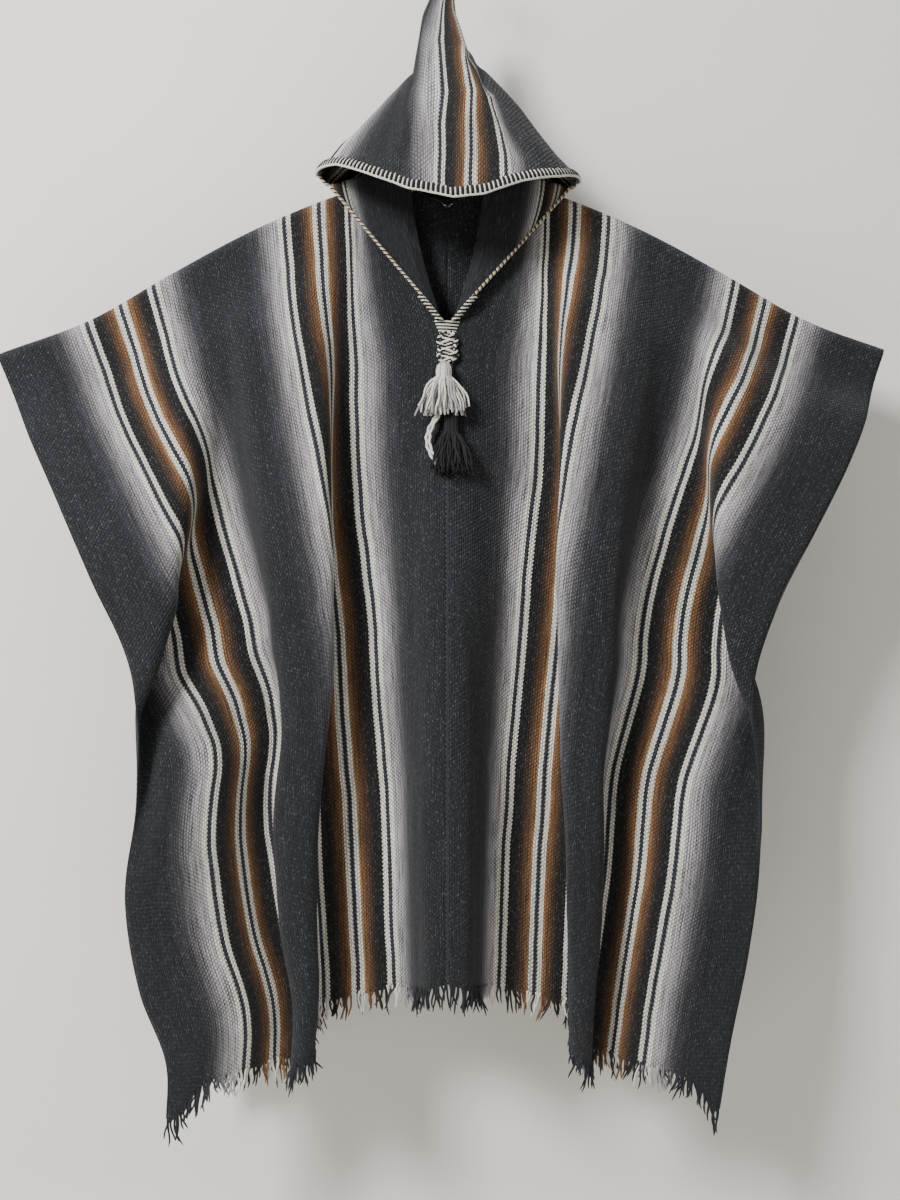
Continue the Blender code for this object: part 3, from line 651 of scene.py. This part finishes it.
bm.from_mesh(hood.data)
bmesh.ops.remove_doubles(bm, verts=bm.verts, dist=2e-5)
bmesh.ops.recalc_face_normals(bm, faces=bm.faces)
bm.to_mesh(hood.data)
bm.free()
thicken(hood)
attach(hood, "root")
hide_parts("hood")


# Yarn: soft plied wool for fringe, tassels and edgings. Each strand is a bent tube, and its colour
# goes with it as an attribute, so that strands of several stripes can be one piece.
def add_tube(bm, path, radii, sides, colour, layer):
    path = [Vector(p) for p in path]
    loops = []
    side = Vector((1, 0.13, 0.07))
    for n, p in enumerate(path):
        ahead = (path[min(n + 1, len(path) - 1)] - path[max(n - 1, 0)]).normalized()
        side = (side - ahead * side.dot(ahead)).normalized()
        up = ahead.cross(side)
        radius = radii if isinstance(radii, float) else radii[n]
        spokes = [side * cos(k * 2 * pi / sides) + up * sin(k * 2 * pi / sides) for k in range(sides)]
        loops.append([bm.verts.new(p + spoke * radius) for spoke in spokes])
    faces = [bm.faces.new(reversed(loops[0])), bm.faces.new(loops[-1])]
    for a, b in zip(loops, loops[1:]):
        faces += [bm.faces.new((a[k - 1], a[k], b[k], b[k - 1])) for k in range(sides)]
    for face in faces:
        face.smooth = True
        for corner in face.loops:
            corner[layer] = (*colour, 1.0)


def speckle(tree, scale, detail):
    """Noise that stays with the piece."""
    place = tree.node("ShaderNodeTexCoord")[3]
    return tree.node("ShaderNodeTexNoise", None, {"Vector": place, "Scale": scale, "Detail": detail})[0]


def yarn_colour(tree):
    base = tree.node("ShaderNodeVertexColor", {"layer_name": "yarn"})[0]
    return shaded(tree, base, speckle(tree, 700.0, 3.0) * 0.9 + 0.55)


def yarn_height(tree):
    return speckle(tree, 1500.0, 2.0)


yarn_wool = finish_of("plied_yarn", yarn_colour, 0.9, yarn_height, depth=0.0004, sheen=0.06)


def yarn_piece(name, strands, sides=5):
    """One piece from its strands, each a path, its radius or radii, and its colour."""
    bm = bmesh.new()
    layer = bm.loops.layers.float_color.new("yarn")
    for path, radii, colour in strands:
        add_tube(bm, path, radii, sides, colour, layer)
    mesh = bpy.data.meshes.new(name)
    bm.to_mesh(mesh)
    bm.free()
    mesh.materials.append(yarn_wool)
    obj = bpy.data.objects.new(name, mesh)
    bpy.context.scene.collection.objects.link(obj)
    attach(obj, "root")
    return obj


# Fringe: the warp's own ends, each in its stripe's colour. They are loosely gathered in tufts below
# the last row of weaving, and uneven in length.
FRINGE_RADIUS = 0.0014
FRINGE_SHORT, FRINGE_LONG = 0.018, 0.031
TUFT_PITCH = 0.013
BENDS = 6
THREAD_HALF, WHITE_HALF = 0.0024, 0.0082


def stripe_at(across):
    """The stripe's colour at a place across the loom."""
    away = min(abs(across - middle) for middle in PANEL_BANDS)
    near = min(away, abs(away - LINE_AWAY))
    if near < THREAD_HALF:
        return THREAD
    if near < WHITE_HALF:
        return CREAM
    places = [place for place, _ in BAND]
    return tuple(float(np.interp(away, places, [colour[k] for _, colour in BAND])) for k in range(3))


for side, face, pitch, seed in (("left", "front", 0.0024, 1), ("right", "front", 0.0024, 2),
                                ("left", "back", 0.0036, 3), ("right", "back", 0.0036, 4)):
    rnd = random.Random(seed)
    panel = left if side == "left" else right
    sheet = panel.front if face == "front" else panel.back
    places, us = panel_hems[side]
    row = -1 if face == "front" else 0
    hem, u_hem = places[:, row], us[:, row]
    strands = []
    for n in range(int(PANEL_WIDTH / pitch)):
        u = (n + 0.5 + rnd.uniform(-0.25, 0.25)) * pitch
        root = Vector([np.interp(u, u_hem, hem[:, k]) for k in range(3)])
        fall = (Vector(sheet.at(u, DROP + 0.030)) - Vector(sheet.at(u, DROP - 0.010))).normalized()
        length = rnd.uniform(FRINGE_SHORT, FRINGE_LONG) + 0.004 * sin(u * 130)
        gather = (u % TUFT_PITCH - TUFT_PITCH / 2) / length * (1 if side == "left" else -1)
        tuft = gather * 0.8 + sin(u * 95 + seed) * 0.22
        lean = Vector((tuft + rnd.uniform(-0.20, 0.20), rnd.uniform(-0.20, 0.12), 0))
        curl = Vector((rnd.uniform(-1, 1), rnd.uniform(-0.6, 0.6), 0)) * 0.0024
        path, radii = [], []
        for k in range(BENDS + 1):
            t = k / BENDS
            path.append(root + fall * (length * t - 0.004) + lean * (length * t ** 1.6) * 0.8
                        + curl * sin(t * pi * 1.5 + n))
            radii.append(FRINGE_RADIUS * (1 - 0.35 * t) * (0.45 if k == BENDS else 1))
        strands.append((path, radii, stripe_at(u)))
    piece = yarn_piece(f"fringe_{face}_{side}_yarn", strands)
    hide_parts(f"fringe_{face}_{side}")
    panel_pieces[side].append(piece)

# Join and tassels: cream and black yarn plaited over the foot of the slit. A light tassel hangs from it
# in front, and a black one on a thin neck behind, with a loose cream loop beside it.
JOIN_TALL = 0.036
JOIN_TOP = float(left.at(0.0, SLIT_FRONT * 0.955)[2])
JOIN_STRANDS = 10
JOIN_YARN = 0.0014
# how far down the join, half its width there
JOIN_WAIST = ((0, 0.004), (0.08, 0.009), (0.30, 0.0122), (0.50, 0.0095), (0.72, 0.0125), (0.92, 0.009),
              (1.0, 0.004))


def seam_y(z):
    """How far forward the cloth comes about the centre seam at one height."""
    fronts = []
    for level in z + np.linspace(-0.012, 0.012, 5):
        near = [(np.abs(s.x) < 0.022) & (np.abs(s.z - level) < 0.008) for s in (left.front, right.front)]
        fronts.append(min(s.y[mask].min() for s, mask in zip((left.front, right.front), near)))
    return float(np.mean(fronts)) - CLOTH / 2


strands = []
for n in range(JOIN_STRANDS):
    path = []
    for t in np.linspace(0, 1, 41):
        half = np.interp(t, *np.array(JOIN_WAIST).T)
        phase = n * 2 * pi / JOIN_STRANDS + t * 3.4 * pi
        z = JOIN_TOP + 0.001 - (JOIN_TALL + 0.001) * t
        path.append((half * sin(phase), seam_y(z) - 0.0036 - 0.0024 * cos(2 * phase + n), z))
    strands.append((path, JOIN_YARN, (CREAM, BLACK)[n % 2]))
join = yarn_piece("neck_join_plait", strands, 6)
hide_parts("neck_join")


# necks of the tassels: how far down, half width, how far ahead of the cloth
LIGHT_NECK = ((0.0, 0.0025, 0.007), (0.005, 0.0075, 0.0125), (0.012, 0.0092, 0.0145),
              (0.017, 0.0088, 0.0145), (0.019, 0.0095, 0.0145))
BLACK_NECK = ((0.0, 0.0014, 0.0022), (0.030, 0.0030, 0.0030), (0.052, 0.0060, 0.0050),
              (0.070, 0.0076, 0.0070), (0.083, 0.0080, 0.0088))
LIGHT_YARNS = (CREAM, LIGHT, tint(190, 187, 182), tint(112, 110, 114))
BLACK_YARNS = (BLACK, tint(20, 20, 22))
GOLDEN_ANGLE = 2.399963


def tassel(node_name, x, neck, length, spread, colours, count, radius, seed, loop=()):
    """Yarns spaced evenly about the neck, which below it hang and spread. The loop is of two more yarns."""
    rnd = random.Random(seed)
    top = JOIN_TOP - JOIN_TALL - SEAM
    strands = []
    for n in range(count):
        angle = n * GOLDEN_ANGLE
        out = ((n + 0.5) / count) ** 0.5
        path, radii = [], []
        for down, size, ahead in neck:
            y = seam_y(top - down) - ahead + size * 0.8 * out * sin(angle)
            path.append(Vector((x + size * 0.9 * out * cos(angle), y, top - down)))
            radii.append(radius)
        base = path[-1]
        reach = length * rnd.uniform(0.75, 1.0)
        aside = cos(angle) * spread * out + rnd.uniform(-0.2, 0.2) * spread
        ahead = sin(angle) * spread * 0.25 * out
        wave, turn = rnd.uniform(0.0006, 0.0018), rnd.uniform(0, 6.28)
        for k in range(1, 8):
            t = k / 7
            z = base.z - reach * t
            path.append(Vector((base.x + aside * t ** 0.6 + wave * sin(turn + 7 * t),
                                base.y + ahead * t + seam_y(z) - seam_y(base.z), z)))
            radii.append(radius * (1 - 0.3 * t))
        strands.append((path, radii, colours[rnd.randrange(len(colours))]))
    for shift in (-0.0012, 0.0012) if loop else ():
        path = [(across + shift * (1 + k % 2), seam_y(top + up) - 0.010, top + up)
                for k, (across, up) in enumerate(loop)]
        strands.append((path, radius * 1.3, CREAM))
    piece = yarn_piece(node_name + "_yarn", strands)
    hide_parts(node_name)


cream_loop = [(-0.010 - 0.012 * sin(pi * k / 11), -0.062 - 0.060 * k / 11) for k in range(12)]
tassel("tassel_light", x=-0.004, neck=LIGHT_NECK, length=0.046, spread=0.021, colours=LIGHT_YARNS,
       count=110, radius=0.0015, seed=5)
tassel("tassel_black", x=0.004, neck=BLACK_NECK, length=0.049, spread=0.019, colours=BLACK_YARNS,
       count=84, radius=0.0014, seed=8, loop=cream_loop)

# Rim of the hood: black and cream yarn stitched over the edge of the face opening like the rungs of
# a ladder, 9 mm up the front and 6 mm up the inside, with a pale twisted cord laid on the edge itself.
LADDER_PITCH = 0.0055
LADDER_TALL = 0.0088
CORD_TWIST = 0.006


def lengths(points):
    """How far along a line each of its points is."""
    return np.concatenate([[0], np.cumsum([(b - a).length for a, b in zip(points, points[1:])])])


def point_at(s, run, points):
    """The point of a line at the length s."""
    return Vector([np.interp(s, run, [p[k] for p in points]) for k in range(3)])


rim = [Vector(p) for p in cap_points[face_first:, -1]]
rim_up = [Vector(p) for p in cap_points[face_first:, -4]]
rim_run = lengths(rim)


def rim_at(s):
    """A place on the rim, with the way up the cloth and the way out of it."""
    edge = point_at(s, rim_run, rim)
    up = (point_at(s, rim_run, rim_up) - edge).normalized()
    ahead = point_at(s + 0.002, rim_run, rim) - point_at(s - 0.002, rim_run, rim)
    out = up.cross(ahead).normalized()
    if out.y > 0:
        out.negate()
    return edge, up, out


strands = []
rnd = random.Random(31)
pairs = int(rim_run[-1] / LADDER_PITCH)
for n in range(pairs):
    for colour, part, radius in ((BLACK, 0.28, 0.00155), (CREAM, 0.78, 0.00105)):
        edge, up, out = rim_at((n + part) / pairs * rim_run[-1])
        tall = LADDER_TALL + rnd.uniform(-0.0006, 0.0006)
        stitch = ((tall, 0.0006), (tall * 0.8, 0.0016), (0.003, 0.0017), (-0.0006, 0.0008),
                  (-0.0006, -0.0008), (0.003, -0.0017), (tall * 0.7, -0.0015))
        strands.append(([edge + up * rise + out * off for rise, off in stitch], radius, colour))
hood_edgings = [yarn_piece("hood_ladder_stitch", strands)]

strands = []
for n in range(2):
    path = []
    for s in np.linspace(0, rim_run[-1], 300):
        edge, up, out = rim_at(s)
        turn = s / CORD_TWIST * 2 * pi + n * pi
        path.append(edge - up * 0.0016 + up * 0.0007 * sin(turn) + out * 0.0007 * cos(turn))
    strands.append((path, 0.0010, CREAM))
hood_edgings.append(yarn_piece("hood_edge_cord", strands))

# Neck edging: a rope of cream yarn with brown in it, overcast along both edges of the V, and held
# with black and cream blanket stitches over its last 40 mm.
ROPE_TWIST = 0.0062
ROPE_ORBIT, ROPE_YARN = 0.0012, 0.0011
BLANKET_LENGTH = 0.040
BLANKET_STITCH = ((0.0062, 0.0004, 0.001), (0.005, -0.0016, 0.001), (0.0, -0.0030, 0.0),
                  (-0.0022, -0.0010, 0.0))
for side, sign in (("left", -1), ("right", 1)):
    neck_line = [foot_point(sign * pi / 2, way) for way in np.linspace(0, 1.2, 120)]
    neck_run = lengths(neck_line)
    strands = []
    for n, colour in enumerate((CREAM, tint(170, 150, 122), DEEP_BROWN)):
        path = []
        for s in np.linspace(0.001, neck_run[-1], 330):
            turn = s / ROPE_TWIST * 2 * pi + n * 2 * pi / 3
            path.append(point_at(s, neck_run, neck_line) + Vector((-sign * 0.0004, -0.0008, 0))
                        + Vector((cos(turn), sin(turn), 0)) * ROPE_ORBIT)
        strands.append((path, ROPE_YARN, colour))
    for n, s in enumerate(np.arange(neck_run[-1] - BLANKET_LENGTH, neck_run[-1] - 0.004, 0.0026)):
        p = point_at(s, neck_run, neck_line)
        path = [p + Vector((sign * x, y, z)) for x, y, z in BLANKET_STITCH]
        strands.append((path, ROPE_YARN, (BLACK, CREAM)[n % 2]))
    hood_edgings.append(yarn_piece("neck_edging_" + side, strands))

# Lacing: cream and black yarn laid from edge to edge of the slit's foot, which it draws together.
# Each length dips into the cloth at both ends, and the lowest lie on the plaited join.
LACING_TOP, LACING_FOOT, LACING_PITCH = 0.188, 0.207, 0.0020
strands = []
for n, v in enumerate(np.arange(LACING_TOP, LACING_FOOT, LACING_PITCH)):
    ends = [Vector(panel.at(0.005, v + 0.0015 * k)) for k, panel in enumerate((left, right))]
    for end in ends:
        end.y -= 0.0012
    middle = (ends[0] + ends[1]) / 2 - Vector((0, 0.0016, 0))
    path = [ends[0] + Vector((0, 0.002, 0)), ends[0], middle, ends[1], ends[1] + Vector((0, 0.002, 0))]
    strands.append((path, 0.0012, (CREAM, BLACK)[n % 2]))
yarn_piece("neck_lacing", strands)

# Centre seam: the two loom widths laid edge to edge and drawn together with dark yarn, a zigzag over
# a straight yarn. A back tack, worked to and fro, closes the foot of the slit behind the neck.
SEAM_STITCH = 0.0028
for name, sheet, face, first in (("seam_front", left.front, -1, SLIT_FRONT + 0.040),
                                 ("seam_back", left.back, 1, SLIT_BACK)):
    path = []
    for n, v in enumerate(np.arange(first, DROP - 0.004, SEAM_STITCH)):
        p = Vector(sheet.at(0.0, v))
        path.append((0.0014 * (1 if n % 2 else -1), p.y + face * 0.0004, p.z))
    strands = [(path, 0.0011, DARK_GREY), ([(0.0, y, z) for _, y, z in path], 0.0010, CHARCOAL)]
    if face > 0:
        _, y, z = sheet.at(0.0, SLIT_BACK - 0.013)
        tack = [((-1) ** n * 0.0085, y - 0.0006, z - n * 0.0011) for n in range(14)]
        strands.append((tack, 0.0014, CHARCOAL))
    yarn_piece(name, strands)

# Selvedges: the weft yarn turns back round the outermost warp, so each side edge of the cloth is a row
# of small loops of charcoal wool.
for side, panel in (("left", left), ("right", right)):
    rows = np.arange(-DROP + 0.004, DROP - 0.004, SEAM_STITCH)
    path = [Vector(panel.at(PANEL_WIDTH - 0.0004 * (n % 2), v)) for n, v in enumerate(rows)]
    radii = [0.0013 if n % 2 else 0.0009 for n in range(len(path))]
    selvedge = yarn_piece("selvedge_" + side, [(path, radii, CHARCOAL)], 6)


# Hanger: turned and varnished beech arms under the shoulders, and a plated steel hook whose long stem
# is let into their middle. Both are the solids themselves, given their finish.
def wood_grain(tree, stretch, values):
    """Noise drawn out along the arms."""
    place = tree.node("ShaderNodeTexCoord")[3]
    grain = tree.node("ShaderNodeMapping", None, {"Vector": place, "Scale": stretch})[0]
    return tree.node("ShaderNodeTexNoise", None, {"Vector": grain, **values})[0]


def wood_colour(tree):
    rings = wood_grain(tree, (8.0, 90.0, 90.0), {"Scale": 1.6, "Detail": 6.0, "Distortion": 0.8})
    stops = ((0.30, tint(120, 80, 46)), (0.50, tint(166, 120, 76)), (0.72, tint(194, 150, 102)))
    return tree.node("ShaderNodeValToRGB", {"stops": stops}, {0: rings})[0]


def wood_height(tree):
    return wood_grain(tree, (20.0, 600.0, 600.0), {"Scale": 1.0, "Detail": 3.0})


def steel_colour(tree):
    stops = ((0.35, (0.48, 0.49, 0.50)), (0.65, (0.66, 0.67, 0.68)))
    return tree.node("ShaderNodeValToRGB", {"stops": stops}, {0: speckle(tree, 120.0, 4.0)})[0]


def steel_rough(tree):
    return speckle(tree, 260.0, 3.0) * 0.25 + 0.15


beech = finish_of("varnished_beech", wood_colour, 0.42, wood_height, depth=0.0003)
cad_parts["hanger_arms"].data.materials[0] = beech
steel = finish_of("plated_steel", steel_colour, steel_rough, metallic=1.0)
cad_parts["hanger_hook"].data.materials[0] = steel

# Stage: a pale wall close behind the garment that rounds into a pale floor below it, both of painted
# plaster. The wall is clear from its back, so that the garment can be seen from behind.
WALL_PAINT = tint(236, 233, 227)
FLOOR_LEVEL, WALL_TOP = -1.62, 1.6
WALL_AWAY = 0.12
STAGE_HALF = 3.0
COVE_RADIUS = 0.10


def paint_colour(tree):
    stops = ((0.3, WALL_PAINT), (0.7, tuple(c * 1.03 for c in WALL_PAINT)))
    return tree.node("ShaderNodeValToRGB", {"stops": stops}, {0: speckle(tree, 3.0, 3.0)})[0]


bm = bmesh.new()
bmesh.ops.create_grid(bm, x_segments=1, y_segments=1, size=STAGE_HALF)
for vert in bm.verts:
    vert.co = (vert.co.x, vert.co.y + WALL_AWAY - STAGE_HALF, FLOOR_LEVEL)
far = [e for e in bm.edges if all(v.co.y > 0 for v in e.verts)]
up = bmesh.ops.extrude_edge_only(bm, edges=far)["geom"]
for vert in [g for g in up if isinstance(g, bmesh.types.BMVert)]:
    vert.co.z = WALL_TOP
bmesh.ops.bevel(bm, geom=far, offset=COVE_RADIUS, segments=8, profile=0.5, affect="EDGES", material=-1)
mesh = bpy.data.meshes.new("backdrop")
bm.to_mesh(mesh)
bm.free()
mesh.shade_smooth()
wall_paint = finish_of("pale_backdrop", paint_colour, 0.85)
tree = Tree(wall_paint)
seen_from_behind = tree.node("ShaderNodeNewGeometry")[6]
tree.feed(wall_paint.node_tree.nodes["Principled BSDF"], {"Alpha": 1 - seen_from_behind})
mesh.materials.append(wall_paint)
backdrop = bpy.data.objects.new("backdrop", mesh)
bpy.context.scene.collection.objects.link(backdrop)

# Light: soft daylight from the upper left, weak fills from the right and from above, and a lamp behind
# for views from there. Columns: name, place, size, power, and the place it points at.
LAMPS = (("key", (-1.5, -2.0, 0.65), 0.7, 112, (0, 0, -0.85)),
         ("fill", (1.8, -2.6, -0.2), 1.8, 9, (0, 0, -0.8)),
         ("top", (0.0, -0.8, 1.6), 1.6, 14, (0, 0, -0.7)),
         ("rear", (0.9, 2.3, 0.4), 1.2, 45, (0, 0, -0.7)))
ROOM_COLOUR, ROOM_STRENGTH = (0.84, 0.83, 0.81, 1.0), 0.24
for name, place, size, power, aim in LAMPS:
    lamp = bpy.data.objects.new(name, bpy.data.lights.new(name, "AREA"))
    lamp.data.size, lamp.data.energy = size, power
    lamp.location = place
    lamp.rotation_euler = (Vector(aim) - Vector(place)).to_track_quat("-Z", "Y").to_euler()
    bpy.context.scene.collection.objects.link(lamp)
world = bpy.data.worlds.new("room")
world.use_nodes = True
world.node_tree.nodes["Background"].inputs[0].default_value = ROOM_COLOUR
world.node_tree.nodes["Background"].inputs[1].default_value = ROOM_STRENGTH
bpy.context.scene.world = world
